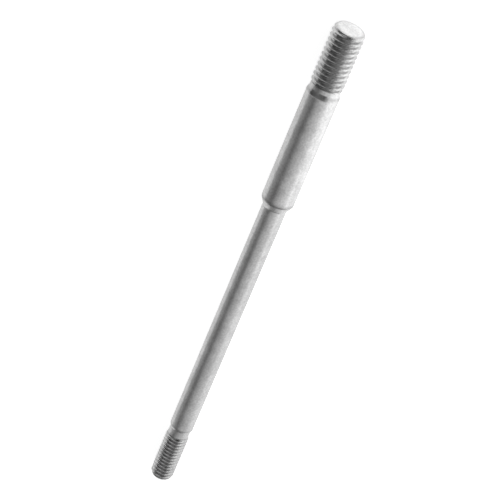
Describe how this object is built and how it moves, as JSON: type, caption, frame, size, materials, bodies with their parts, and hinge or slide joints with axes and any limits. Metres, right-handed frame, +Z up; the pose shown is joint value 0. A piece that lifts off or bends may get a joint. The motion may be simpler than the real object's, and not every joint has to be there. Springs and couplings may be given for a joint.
{
  "type": "stud bolt",
  "caption": "Stepped double-ended stud: a large threaded end, a thick shank, a bevelled step, a long thin shank and a smaller threaded end.",
  "frame": {"origin": "on the surface that the stud lies on, under the middle of its length", "axes": "+X runs from the M8 end towards the M6 end along the ground, +Z is up; the stud's own axis dips 0.71 degrees below +X, because it rests on the end of its thick shank and on its M6 thread"},
  "size_m": [0.1316, 0.0082, 0.0085],
  "materials": {
    "steel": "matt light-grey zinc plate"
  },
  "bodies": {
    "root": {"stud_bolt": "steel"}
  },
  "joints": []
}
